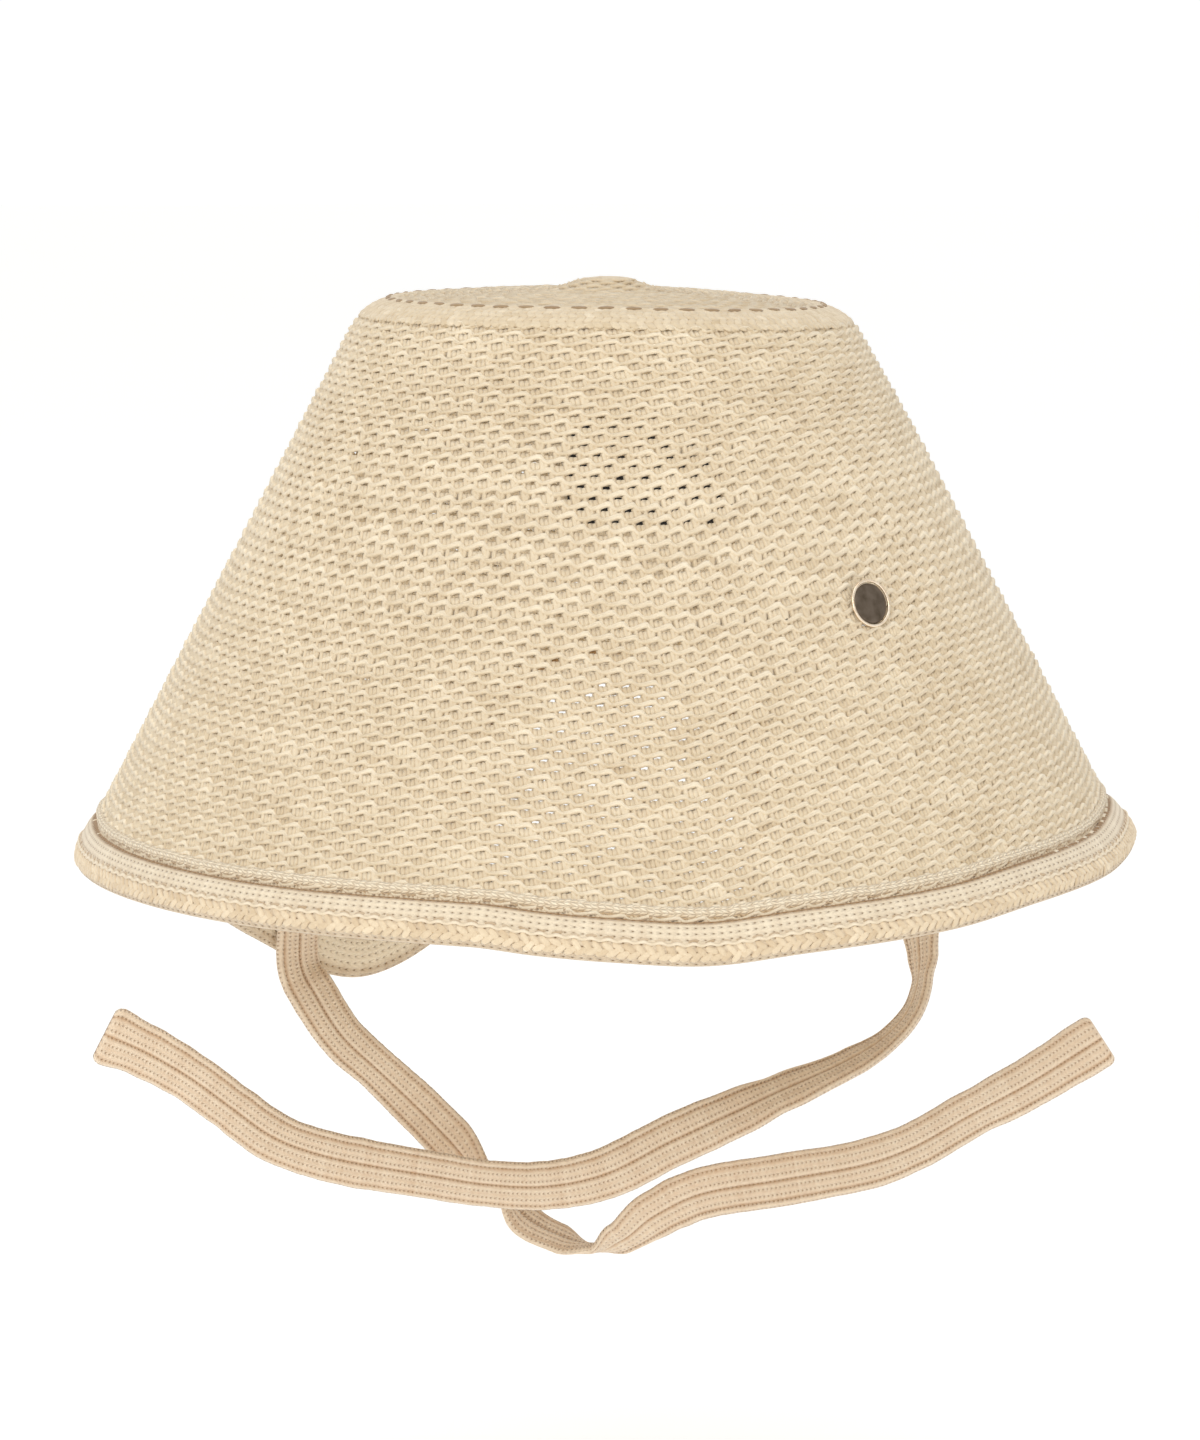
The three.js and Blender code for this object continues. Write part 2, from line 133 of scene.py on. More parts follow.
for name, place, aim, size, power, tint in (
    ("overhead_panel", (-0.2, -0.5, 2.4), (0, 0, -0.1), 2.0, 9, (1.0, 0.985, 0.96)),
    ("front_panel", (-0.5, -2.4, 1.0), (0, 0, -0.12), 1.8, 17, (1.0, 0.99, 0.975)),
):
    bpy.ops.object.light_add(type="AREA", location=place)
    panel = bpy.context.object
    panel.name = name
    panel.rotation_euler = (Vector(aim) - Vector(place)).to_track_quat("-Z", "Y").to_euler()
    panel.data.shape = "DISK"
    panel.data.size = size
    panel.data.energy = power
    panel.data.color = tint

bpy.ops.object.select_all(action="DESELECT")
bpy.ops.mesh.primitive_circle_add(vertices=96, radius=12, fill_type="NGON",
                                location=(0, 0, floor_height))
floor = bpy.context.object
floor.name = "pale_floor"
chalk, paint = empty_material("chalk_white")
grain = paint.add("ShaderNodeTexNoise", inputs={"Scale": 3.0, "Detail": 3.0}, out="Fac")
pale = paint.add("ShaderNodeValToRGB", {"stops": [(0.3, (0.93, 0.93, 0.925)), (0.7, (0.95, 0.95, 0.945))]},
                 {"Fac": grain})
matt = paint.add("ShaderNodeBsdfPrincipled", inputs={
    "Base Color": pale, "Roughness": 0.9, "Emission Color": pale, "Emission Strength": 0.27})
paint.add("ShaderNodeOutputMaterial", inputs={"Surface": matt})
floor.data.materials.append(chalk)

# The knitted wall: crown and flared side worked in one piece from the drawn-up middle
# down, in thick cream cotton. Each stitch is a proud wavy strand with a small open slot
# under its crest and short slanting legs between the slots.
mm = 0.001
wall = 2.8 * mm
crown_radius = 62.3 * mm
crown_dome = 2 * mm
shoulder_radius = 15 * mm
flare = radians(27.8)
rim_radius = 140.5 * mm
rim_turn_radius = 40 * mm
rim_drop = 148 * mm
tip_radius = 11.5 * mm
tip_rise = 3 * mm
crown_lean = 2 * mm
notch_azimuth = 179
notch_half_width = 34 * mm
notch_rise = 73.5 * mm
hem_height = 13 * mm
hem_thickness = 5.4 * mm
ridge_height = 2.6 * mm
gap = 0.3 * mm

crown_plane = wall - crown_dome
meet_drop = crown_plane - (rim_radius - crown_radius) / tan(flare)
turn_end = meet_drop - rim_turn_radius * tan(flare / 2)
turn_start = turn_end + rim_turn_radius * sin(flare)
shoulder_tangent = shoulder_radius * tan((pi / 2 - flare) / 2)
shoulder_start = crown_radius - shoulder_tangent
shoulder_end = crown_plane - shoulder_tangent * cos(flare)
side_start = shoulder_start + shoulder_radius * (pi / 2 - flare)
side_length = 145.6 * mm

# azimuth, how far the rim hangs as a share of rim_drop, hem height as a share of
# hem_height, and how far the hem's lower edge leans out as a share of its thickness
rim_rows = np.array([
    (0, 1.008, 0.85, 0), (10, 1.017, 0.85, 0), (20, 1.004, 0.85, 0), (38, 0.988, 0.85, 0),
    (50, 0.971, 0.85, 0), (66, 0.963, 0.9, 0.18), (90, 0.956, 1.05, 0.45), (110, 1.03, 1.1, 0.25),
    (130, 1.16, 1.1, 0), (150, 1.25, 1.05, 0), (180, 1.27, 0.95, 0), (199, 1.32, 1.05, 0),
    (212, 1.357, 1.05, 0), (226, 1.25, 1.1, 0), (242, 1.1, 1.1, 0), (256, 1.02, 1.1, 0),
    (270, 0.992, 1.05, 0), (290, 0.985, 0.9, 0), (320, 0.986, 0.85, 0), (346, 0.988, 0.85, 0),
    (353, 0.999, 0.85, 0),
])


def rim_value(azimuth, column):
    """A smooth periodic curve through one column of the rim rows; azimuth in degrees."""
    at = np.concatenate((rim_rows[-2:, 0] - 360, rim_rows[:, 0], rim_rows[:3, 0] + 360))
    value = np.concatenate((rim_rows[-2:, column], rim_rows[:, column], rim_rows[:3, column]))
    slope = np.zeros(len(at))
    slope[1:-1] = (value[2:] - value[:-2]) / (at[2:] - at[:-2])
    turned = np.mod(azimuth, 360)
    low = np.searchsorted(at, turned, side="right") - 1
    span = at[low + 1] - at[low]
    share = (turned - at[low]) / span
    s2, s3 = share**2, share**3
    return ((2 * s3 - 3 * s2 + 1) * value[low] + (s3 - 2 * s2 + share) * slope[low] * span
            + (3 * s2 - 2 * s3) * value[low + 1] + (s3 - s2) * slope[low + 1] * span)


def rim_height(azimuth):
    """Height of the rim's lowest edge, with the bell-shaped gap at the back."""
    off = np.mod(azimuth - notch_azimuth + 540, 360) - 180
    share = np.abs(np.radians(off) * rim_radius) / notch_half_width
    return -rim_drop * rim_value(azimuth, 1) + notch_rise / (1 + share**6)


def side_radius(z):
    above = np.clip(z - turn_end, 0, rim_turn_radius)
    turned = rim_radius - rim_turn_radius + np.sqrt(rim_turn_radius**2 - above**2)
    return np.where(z > turn_start, crown_radius + tan(flare) * (crown_plane - z), turned)


def side_lean(z):
    turned = np.arcsin(np.clip((z - turn_end) / rim_turn_radius, 0, 1))
    return np.where(z > turn_start, flare, turned)


def on_side(azimuth, z, out):
    """A point a given way out from the side's outer face; azimuth in degrees."""
    a = np.radians(azimuth)
    lean = side_lean(z)
    radius = side_radius(z) + out * np.cos(lean)
    return np.stack((radius * np.sin(a), -radius * np.cos(a), z + out * np.sin(lean)), axis=-1)


def on_knit(azimuth, down, out):
    """A point of the knit: down is measured over the knit from the crown's middle."""
    a = np.radians(azimuth)
    right = np.maximum(0, np.sin(a))
    flat = np.clip(down / shoulder_start, 0, 1)
    turn = np.clip((down - shoulder_start) / shoulder_radius, 0, pi / 2 - flare)
    top_radius = shoulder_start * flat + (shoulder_radius + out) * np.sin(turn)
    top_z = (crown_plane + crown_dome * (1 - flat**2) - crown_lean * right * flat**2
             + tip_rise * np.exp(-((shoulder_start * flat / tip_radius) ** 3))
             + shoulder_radius * (np.cos(turn) - 1) + out * np.cos(turn))
    top = np.stack((top_radius * np.sin(a), -top_radius * np.cos(a), top_z), axis=-1)
    share = np.clip((down - side_start) / side_length, 0, None)
    hang = np.minimum(rim_value(azimuth, 1), 1.02)
    edge = -rim_drop * hang + hem_height * rim_value(azimuth, 2) + gap + ridge_height / 2
    z = shoulder_end + (edge - shoulder_end) * share
    side = on_side(azimuth, z, out)
    side[..., 2] -= crown_lean * right * np.clip(1 - share / 0.22, 0, 1)
    return np.where((down > side_start)[..., None], side, top)


def yarn_cloth(name, shade, pale, fibre=900.0, depth=0.00025, sheen=0.3, wale=0.0, course=0.0,
               contrast=0.3, dotted=False):
    """Matt cotton yarn: tone by stitch, soft blotches of dye, and fine fibre in the bump.

    With a wale and a course in metres, plain knit stitches follow the piece's own map.
    Dotted cloth shows only the small holes between its wales.
    """
    cloth, yarn = empty_material(name)
    place = yarn.add("ShaderNodeTexCoord", out="Object")
    tone = yarn.add("ShaderNodeAttribute", {"attribute_name": "tone"}, out="Fac")
    blotch = yarn.add("ShaderNodeTexNoise", inputs={"Vector": place, "Scale": 30.0, "Detail": 3.0},
                      out="Fac")
    hair = yarn.add("ShaderNodeTexNoise", inputs={
        "Vector": place, "Scale": fibre, "Detail": 4.0, "Roughness": 0.7}, out="Fac")
    mix = tone * 0.55 + blotch * 0.06 + hair * 0.34 + 0.03
    relief = hair
    if wale:
        own = yarn.add("ShaderNodeUVMap", {"uv_map": "stitch"})
        split = yarn.add("ShaderNodeSeparateXYZ", inputs={"Vector": own}, out=0)
        other = Wire(cloth.node_tree, split.socket.node.outputs[1])
        side = yarn.maths("PINGPONG", other / wale, 1.0)
        phase = yarn.maths("FRACT", split / course + side * 0.6 + blotch * 0.5)
        if dotted:
            loop = yarn.maths("MAXIMUM", yarn.maths("SINE", phase * pi),
                              yarn.maths("SINE", side * (pi / 2)))
            middle = 0.46
        else:
            loop = yarn.maths("SINE", phase * pi) * yarn.maths("SINE", side * pi)
            middle = 0.27
        relief = yarn.maths("POWER", loop, 0.6) + hair * 0.45
        mix = mix + (yarn.maths("MINIMUM", loop, 0.5) - middle) * contrast
    colour = yarn.add("ShaderNodeValToRGB", {"stops": [(0.15, shade), (0.85, pale)]}, {"Fac": mix})
    rough = 0.78 + hair * 0.2
    bump = yarn.add("ShaderNodeBump", inputs={"Strength": 1.0, "Distance": depth, "Height": relief})
    surface = yarn.add("ShaderNodeBsdfPrincipled", inputs={
        "Base Color": colour, "Roughness": rough, "Normal": bump,
        "Specular IOR Level": 0.25, "Sheen Weight": sheen, "Sheen Roughness": 0.5})
    yarn.add("ShaderNodeOutputMaterial", inputs={"Surface": surface})
    return cloth


def tube(name, path, radius, sides):
    """An open strand of yarn: a ring of points, drawn out step by step along its path."""
    bpy.ops.object.select_all(action="DESELECT")
    bpy.ops.mesh.primitive_circle_add(vertices=sides, radius=radius, location=path[0],
                                      rotation=(0, pi / 2, 0))
    strand = bpy.context.object
    strand.name = name
    bpy.ops.object.mode_set(mode="EDIT")
    for before, after in zip(path[:-1], path[1:]):
        step = Vector(after) - Vector(before)
        bpy.ops.mesh.extrude_region_move(TRANSFORM_OT_translate={"value": step})
    bpy.ops.mesh.select_all(action="SELECT")
    bpy.ops.mesh.normals_make_consistent(inside=False)
    bpy.ops.object.mode_set(mode="OBJECT")
    return strand


def leg(name, top, bottom, width, depth, ends="NGON"):
    """A short piece of yarn from top to bottom; its ends are closed where they show."""
    bpy.ops.object.select_all(action="DESELECT")
    run = Vector(bottom) - Vector(top)
    middle = (Vector(top) + Vector(bottom)) / 2
    bpy.ops.mesh.primitive_cylinder_add(vertices=4, radius=0.5, depth=run.length, location=middle,
                                        end_fill_type=ends, rotation=run.to_track_quat("Z", "Y").to_euler())
    piece = bpy.context.object
    piece.name = name
    piece.scale = (width * 1.3, depth * 1.3, 1)
    bpy.ops.object.transform_apply(location=True, rotation=True, scale=True)
    return piece


def joined(name, pieces):
    """Joins the parts of one stitch and returns its points and its faces."""
    bpy.ops.object.select_all(action="DESELECT")
    for piece in pieces:
        piece.select_set(True)
    bpy.context.view_layer.objects.active = pieces[0]
    bpy.ops.object.join()
    bpy.ops.object.transform_apply(location=True, rotation=True, scale=True)
    stitch = bpy.context.object
    points = np.array([tuple(v.co) for v in stitch.data.vertices])
    faces = np.array([tuple(p.vertices) for p in stitch.data.polygons])
    bpy.data.objects.remove(stitch)
    return points, faces


def piece_from(name, points, faces, tone, cloth, merge=None):
    """One finished piece from arrays of points and faces, with its tone by point."""
    mesh = bpy.data.meshes.new(name)
    mesh.from_pydata(points.tolist(), [], faces.tolist())
    attribute = mesh.attributes.new("tone", "FLOAT", "POINT")
    attribute.data.foreach_set("value", np.asarray(tone, np.float32))
    piece = bpy.data.objects.new(name, mesh)
    bpy.context.scene.collection.objects.link(piece)
    mesh.materials.append(cloth)
    bpy.ops.object.select_all(action="DESELECT")
    piece.select_set(True)
    bpy.context.view_layer.objects.active = piece
    bpy.ops.object.shade_smooth()
    if merge:
        bpy.ops.object.mode_set(mode="EDIT")
        bpy.ops.mesh.select_all(action="SELECT")
        bpy.ops.mesh.remove_doubles(threshold=merge)
        bpy.ops.object.mode_set(mode="OBJECT")
    return piece


stitch_pitch = 6.2 * mm
row_height = 2.8 * mm

# The strand's place along the stitch as shares of the pitch, with its rise and its depth
strand_path = [
    (x * stitch_pitch, up * mm, out * mm) for x, up, out in (
        (0, 0.3, -0.82), (0.2, 0.52, -0.74), (0.4, 0.92, -0.62), (0.58, 1.34, -0.5),
        (0.76, 1.44, -0.5), (0.88, 0.66, -0.7), (1, 0.3, -0.82))
]

# Legs beside and under the slot: place along, top, bottom, tilt, width and depth
leg_rows = (
    (0.97, 0.6, -2.0, 0.03, 1.45, -1.0),
    (0.25, 0.75, -2.15, -0.03, 1.3, -0.95),
    (0.47, -0.42, -2.4, -0.05, 1.3, -0.98),
    (0.65, -0.36, -2.4, -0.02, 1.3, -0.98),
    (0.84, 0.75, -2.1, -0.06, 1.5, -0.96),
)
strand_radius = 0.78 * mm
strand_sides = 4
leg_thickness = 0.95 * mm
parts = [tube("strand", strand_path, strand_radius, strand_sides)]
for along, top, bottom, tilt, width, depth in leg_rows:
    shows = 0.3 < along < 0.7
    parts.append(leg("leg", ((along + tilt) * stitch_pitch, top * mm, depth * mm),
                     ((along - tilt) * stitch_pitch, bottom * mm, depth * mm - 0.1 * mm),
                     width * mm, leg_thickness, "NGON" if shows else "NOTHING"))
bpy.ops.object.select_all(action="DESELECT")
bpy.ops.mesh.primitive_plane_add(size=1, location=(0.5 * stitch_pitch, 0, -1.3 * mm))
web = bpy.context.object
web.name = "web"
web.scale = (1.02 * stitch_pitch, 3.3 * mm, 1)
bpy.ops.object.transform_apply(location=True, rotation=True, scale=True)
bpy.ops.object.mode_set(mode="EDIT")
bpy.ops.mesh.select_all(action="SELECT")
bpy.ops.mesh.inset(thickness=0.3 * mm, depth=0)
bpy.ops.transform.resize(value=(0.38, 0.45, 1), center_override=(0.5 * stitch_pitch, 0, 0))
bpy.ops.transform.translate(value=(0, 0.17 * mm, 0))
bpy.ops.mesh.delete(type="FACE")
bpy.ops.object.mode_set(mode="OBJECT")
parts.append(web)
stitch_points, stitch_faces = joined("open_stitch", parts)
strand_size = len(strand_path) * strand_sides
# Each stitch's tone: the strand grows lighter the higher it rises, a painted highlight on its crest, and
# the legs and web behind it are darker, painted shade under the strand.
painted_stitch_light = np.full(len(stitch_points), -0.1)
painted_stitch_light[:strand_size] = 0.14 + 0.3 * (stitch_points[:strand_size, 1] - 0.8 * mm) / mm

# Row spacing and stitch pitch in millimetres, by share of the side's fall
spacing_rows = np.array([(-1, 2.4), (0.13, 2.4), (0.25, 2.87), (0.35, 3.2), (0.46, 3.12), (0.57, 2.77),
                         (0.68, 2.5), (0.78, 2.7), (0.89, 2.45), (1.4, 2.6)])
pitch_rows = np.array([(-1, 7.0), (0, 7.0), (0.33, 6.0), (0.6, 5.8), (0.8, 6.1), (1, 6.4), (1.4, 6.4)])

rng = np.random.default_rng(7)
rim_azimuths = np.arange(0, 360, 0.25)
rim_line = on_side(rim_azimuths, rim_height(rim_azimuths), 0)
rim_zone = -75 * mm
hem_overlap = 2 * mm


def inside_body(azimuth, points):
    """Whether each point lies on the knit: above the rim, and in from it past the hem."""
    keep = points[:, 2] > rim_height(azimuth)
    near = np.flatnonzero(keep & (points[:, 2] < rim_zone))
    apart = np.linalg.norm(points[near, None] - rim_line[None], axis=2).min(axis=1)
    keep[near] &= apart > hem_height * rim_value(azimuth[near], 2) - hem_overlap
    return keep


# Where the courses start, leave the plain edge band free, and end
first_course = 6 * mm
band_start = 54 * mm
band_end = 64 * mm
course_after_band = 65.6 * mm
last_share = 1.44


def ring_radius(down):
    """How far out the knit lies, at one way down it, seen from above."""
    return np.linalg.norm(on_knit(np.zeros(1), np.array([down]), 0.0)[0, :2])


def courses():
    """Each course of stitches: where it lies, how tall it is, how many stitches, and its shift."""
    down = first_course
    rows = []
    while True:
        share = (down - side_start) / side_length
        tall = np.interp(share, *spacing_rows.T) * mm
        if share > last_share:
            return rows
        if band_start < down < band_end:
            down = course_after_band
            continue
        radius = down if down < shoulder_start else ring_radius(down)
        pitch = np.interp(share, *pitch_rows.T) * mm
        rows.append([down, tall, 2 * pi * radius / pitch, 0.0])
        down += tall


def slot_openness(middle, spread):
    """How open each slot is: wide in the front's middle, nearly shut elsewhere."""
    across = ((middle[:, 0] + 0.03) / 0.075) ** 2
    along = ((middle[:, 2] + 0.055) / 0.05) ** 2
    openness = 0.08 + 0.92 * np.exp(-across - along)
    openness = np.where(middle[:, 1] < 0, openness, 0.2)
    return np.clip(openness + spread * 0.2, -0.1, 1.2)


# The crown's stitches get a much lower tone than the side's: painted shade over the top of the crown.
side_tone = 0.54
crown_painted_shade_tone = 0.2


def stitches(rows, points, faces):
    """Every copy of a stitch along the given courses, as points, faces and tones."""
    all_points, all_faces, all_tones = [], [], []
    base = 0
    for down, tall, count, shift in rows:
        count = int(count)
        pitch_degrees = 360 / count
        left = rng.normal(0, 1, (count, 2))
        right = np.roll(left, -1, axis=0)
        own = rng.normal(0, 1, (count, 3))
        share = points[:, 0] / stitch_pitch
        blend = np.clip(share, 0, 1)
        index = np.arange(count)[:, None]
        azimuth = (index + share[None] + shift) * pitch_degrees
        swell = np.sin(pi * blend)[None]
        rise = points[None, :, 1] * tall / row_height
        rise = rise + (left[:, :1] * (1 - blend) + right[:, :1] * blend) * 0.13 * mm
        rise = rise + own[:, :1] * swell * 0.12 * mm
        sill = (points[:, 1] > -0.8 * mm) & (points[:, 1] < 0.1 * mm) & (np.abs(share - 0.56) < 0.22)
        centre = (np.arange(count) + 0.5 + shift) * pitch_degrees
        middle = on_knit(centre, np.full(count, down), 0.0)
        openness = slot_openness(middle, own[:, 2])
        rise = rise + sill[None] * (1 - openness[:, None]) * 0.85 * mm
        depth = points[None, :, 2] + (left[:, 1:] * (1 - blend) + right[:, 1:] * blend) * 0.07 * mm
        depth = depth + own[:, 1:2] * swell * 0.08 * mm
        keep = inside_body(centre, middle) if down > side_start else np.ones(count, bool)
        placed = on_knit(azimuth, down - rise, depth)[keep]
        if not len(placed):
            continue
        kept = len(placed)
        all_points.append(placed.reshape(-1, 3))
        offsets = base + np.arange(kept) * len(points)
        all_faces.append((faces[None] + offsets[:, None, None]).reshape(-1, 4))
        tone = (side_tone if down > band_start else crown_painted_shade_tone) + 0.08 * own[keep, :1]
        tone = tone + 0.04 * left[keep, :1] + rng.normal(0, 0.02) + painted_stitch_light[None]
        all_tones.append(np.clip(tone, -0.2, 1.1).reshape(-1))
        base += kept * len(points)
    return np.concatenate(all_points), np.concatenate(all_faces), np.concatenate(all_tones)


body_yarn = yarn_cloth("cream_body_yarn", (0.58, 0.44, 0.265), (0.965, 0.855, 0.665))
rows = courses()
for group in range(0, len(rows), 5):
    band = rows[group:group + 5]
    count = 2 * round(np.mean([row[2] for row in band]) / 2)
    for step, row in enumerate(band):
        row[2] = count if row[0] > 30 * mm else max(5, round(row[2]))
        row[3] = 0.46 * (group + step)
stitches_a_piece = 1350
started, weight, bands = 0, 0, []
for index, row in enumerate(rows):
    weight += row[2]
    if weight > stitches_a_piece or index == len(rows) - 1:
        bands.append(rows[started:index + 1])
        started, weight = index + 1, 0
knit_names = ("crown_knit", "upper_knit", "middle_knit", "lower_knit", "brim_knit", "lobe_knit", "tip_knit")
for name, band in zip(knit_names, bands):
    points, faces, tone = stitches(band, stitch_points, stitch_faces)
    piece = piece_from(name, points, faces, tone, body_yarn, merge=0.01 * mm)
    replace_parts(piece, "knit_body")
    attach(piece, "root")

# The crown's edge: where the flat crown turns down, a plain band of small slanting stitches, and over it a
# row of short dark bars that are painted shadow in the slots there. In the crown's middle sits the knot
# that the last stitches are drawn up into. The band and the knot are the wall's own yarn.
bpy.ops.object.select_all(action="DESELECT")
bpy.ops.mesh.primitive_cube_add(size=1)
bpy.ops.object.mode_set(mode="EDIT")
bpy.ops.mesh.subdivide(number_cuts=1, smoothness=1)
bpy.ops.object.mode_set(mode="OBJECT")
stroke_points, stroke_faces = joined("stroke", [bpy.context.object])


def crown_strokes(down, count, length, width, thick, out, slant, shade):
    """A ring of short strokes round the crown, with their points, faces and tones."""
    along, aside, proud = (stroke_points * np.array([length, width, thick])).T
    jitter = rng.normal(0, 1, (count, 3))
    swing = radians(slant) + jitter[:, :1] * 0.12
    place = along * np.cos(swing) - aside * np.sin(swing)
    fall = along * np.sin(swing) + aside * np.cos(swing) + jitter[:, 1:2] * 0.08 * mm
    azimuth = np.arange(count)[:, None] * 360 / count + np.degrees(place / ring_radius(down))
    points = on_knit(azimuth, down + fall, out + proud).reshape(-1, 3)
    faces = (stroke_faces[None] + (np.arange(count) * len(stroke_points))[:, None, None]).reshape(-1, 4)
    return points, faces, np.repeat(shade + 0.1 * jitter[:, 2], len(stroke_points))


# How far down, how many, then length, width, thickness and way out, slant and tone; the low tones are
# painted shade, as on the crown
band_rows = [
    (54.6 * mm, 120, 3.4 * mm, 1.5 * mm, 0.8 * mm, -0.5 * mm, 8, 0.4),
    (56.0 * mm, 150, 2.9 * mm, 1.5 * mm, 0.6 * mm, -0.1 * mm, -8, 0.4),
    (57.4 * mm, 180, 2.2 * mm, 1.5 * mm, 0.5 * mm, -0.2 * mm, 40, 0.4),
    (59.1 * mm, 180, 2.2 * mm, 1.3 * mm, 0.5 * mm, -0.15 * mm, -40, 0.35),
    (60.8 * mm, 180, 2.2 * mm, 1.3 * mm, 0.5 * mm, -0.15 * mm, 40, 0.4),
    (62.5 * mm, 180, 2.2 * mm, 1.3 * mm, 0.5 * mm, -0.15 * mm, -40, 0.35),
    (64.1 * mm, 180, 2.2 * mm, 1.4 * mm, 0.5 * mm, -0.2 * mm, 40, 0.35),
]
band_points, band_faces, band_tones, base = [], [], [], 0
for row in band_rows:
    points, faces, tone = crown_strokes(*row)
    band_points.append(points)
    band_faces.append(faces + base)
    band_tones.append(tone)
    base += len(points)
edge_band = piece_from("crown_edge", np.concatenate(band_points), np.concatenate(band_faces),
                       np.concatenate(band_tones), body_yarn)

# Short dark bars round the crown's edge, in a dark yarn colour: painted shadow in the slots.
slot_shadow_yarn = yarn_cloth("painted_slot_shadow_yarn", (0.32, 0.21, 0.12), (0.48, 0.35, 0.21))
points, faces, tone = crown_strokes(56.4 * mm, 52, 2.8 * mm, 1.0 * mm, 0.5 * mm, 0.22 * mm, 0, 0.4)
slot_shadows = piece_from("painted_slot_shadows", points, faces, tone, slot_shadow_yarn)

bpy.ops.object.select_all(action="DESELECT")
bpy.ops.mesh.primitive_uv_sphere_add(segments=44, ring_count=16, radius=1, location=(0.5 * mm, 0, 5.0 * mm))
knot = bpy.context.object
knot.name = "drawn_knot"
knot.scale = (6.4 * mm, 6.4 * mm, 1.0 * mm)
bpy.ops.object.transform_apply(location=True, rotation=True, scale=True)
for vertex in knot.data.vertices:
    angle = np.arctan2(vertex.co.y, vertex.co.x)
    pleat = 1 + 0.09 * np.cos(11 * angle) * min(1, vertex.co.xy.length / (5 * mm))
    vertex.co.x *= pleat
    vertex.co.y *= pleat
bpy.ops.object.shade_smooth()
knot_tone = knot.data.attributes.new("tone", "FLOAT", "POINT")
knot_tone.data.foreach_set("value", np.full(len(knot.data.vertices), 0.3, np.float32))
knot.data.materials.append(body_yarn)
for piece in (edge_band, slot_shadows, knot):
    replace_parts(piece, "knit_body")
    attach(piece, "root")

# The seam ridge: the linking seam that joins the side to the hem, a rounded roll of the
# same yarn with slanting wraps, all round the rim and over the arch of the gap. The groove under it is
# drawn tight, and its dark line is painted shade: the tone darkens down the ridge's underside and along the
# top of the hem.
ridge_proud = 0.9 * mm
fine_azimuths = np.arange(0, 360.01, 0.05)
fine_heights = rim_height(fine_azimuths)


def surface_run(azimuth, z):
    """Steps between places on the side, unrolled: along the rim and up the slope."""
    middle = (z[1:] + z[:-1]) / 2
    return np.radians(np.diff(azimuth)) * side_radius(middle), np.diff(z) / np.cos(side_lean(middle))


fine_run = np.hypot(*surface_run(fine_azimuths, fine_heights))
fine_lengths = np.concatenate(([0], np.cumsum(fine_run)))
rim_length = fine_lengths[-1]
heading_along = np.radians(0.5) * side_radius(fine_heights)
heading_up = rim_height(fine_azimuths + 0.25) - rim_height(fine_azimuths - 0.25)
heading_up = heading_up / np.cos(side_lean(fine_heights))
heading_size = np.hypot(heading_along, heading_up)


def on_rim(place, inward, out):
    """A point by its place along the rim, its way in from the rim, and its way out."""
    at = np.mod(place, rim_length)
    azimuth = np.interp(at, fine_lengths, fine_azimuths)
    z = np.interp(at, fine_lengths, fine_heights)
    aside = np.interp(at, fine_lengths, -heading_up / heading_size)
    upward = np.interp(at, fine_lengths, heading_along / heading_size)
    moved = azimuth + np.degrees(inward * aside / side_radius(z))
    return on_side(moved, z + inward * upward * np.cos(side_lean(z)), out)


def hem_at(place, column=2, size=hem_height):
    """The hem's height at a place along the rim, or another column of the rim rows."""
    return rim_value(np.interp(np.mod(place, rim_length), fine_lengths, fine_azimuths), column) * size


def rounded(section):
    """Cuts the corners of a closed section once."""
    following = np.roll(section, -1, axis=0)
    cuts = (section * 0.75 + following * 0.25, section * 0.25 + following * 0.75)
    return np.stack(cuts, axis=1).reshape(-1, 2)


def loft(name, rings, closes, tone, cloth):
    """Skins a row of closed sections. Its map runs along the row and round it, in metres."""
    count, size = rings.shape[:2]
    i = np.arange(count if closes else count - 1)[:, None]
    j = np.arange(size)[None]
    i2, j2 = (i + 1) % count, (j + 1) % size
    rounds = np.broadcast_arrays(i * size + j, i2 * size + j, i2 * size + j2, i * size + j2)
    faces = np.stack(rounds, axis=-1)
    middles = rings.mean(axis=1)
    steps = np.linalg.norm(np.roll(middles, -1, axis=0) - middles, axis=1)
    turns = np.linalg.norm(np.roll(rings[0], -1, axis=0) - rings[0], axis=1)
    u = np.concatenate(([0], np.cumsum(steps)))
    v = np.concatenate(([0], np.cumsum(turns)))
    corners = [np.broadcast_arrays(u[i + a], v[j + b]) for a, b in ((0, 0), (1, 0), (1, 1), (0, 1))]
    where = np.stack([np.stack(corner, axis=-1) for corner in corners], axis=2).reshape(-1, 2)
    faces = faces.reshape(-1, 4).tolist()
    if not closes:
        faces += [list(range(size)), list(range((count - 1) * size, count * size))]
        caps = [(u[0], value) for value in v[:-1]] + [(u[-2], value) for value in v[:-1]]
        where = np.concatenate((where, caps))
    mesh = bpy.data.meshes.new(name)
    mesh.from_pydata(rings.reshape(-1, 3).tolist(), [], faces)
    attribute = mesh.attributes.new("tone", "FLOAT", "POINT")
    attribute.data.foreach_set("value", np.asarray(tone, np.float32).ravel())
    own_map = mesh.uv_layers.new(name="stitch")
    own_map.data.foreach_set("uv", where.astype(np.float32).ravel())
    piece = bpy.data.objects.new(name, mesh)
    bpy.context.scene.collection.objects.link(piece)
    mesh.materials.append(cloth)
    bpy.ops.object.select_all(action="DESELECT")
    piece.select_set(True)
    bpy.context.view_layer.objects.active = piece
    bpy.ops.object.mode_set(mode="EDIT")
    bpy.ops.mesh.select_all(action="SELECT")
    bpy.ops.mesh.normals_make_consistent(inside=False)
    bpy.ops.object.mode_set(mode="OBJECT")
    bpy.ops.object.shade_smooth()
    return piece


ridge_yarn = yarn_cloth("linked_seam_yarn", (0.5, 0.31, 0.14), (0.99, 0.86, 0.65), depth=0.0004,
                        wale=0.9 * mm, course=1.6 * mm, contrast=0.35)
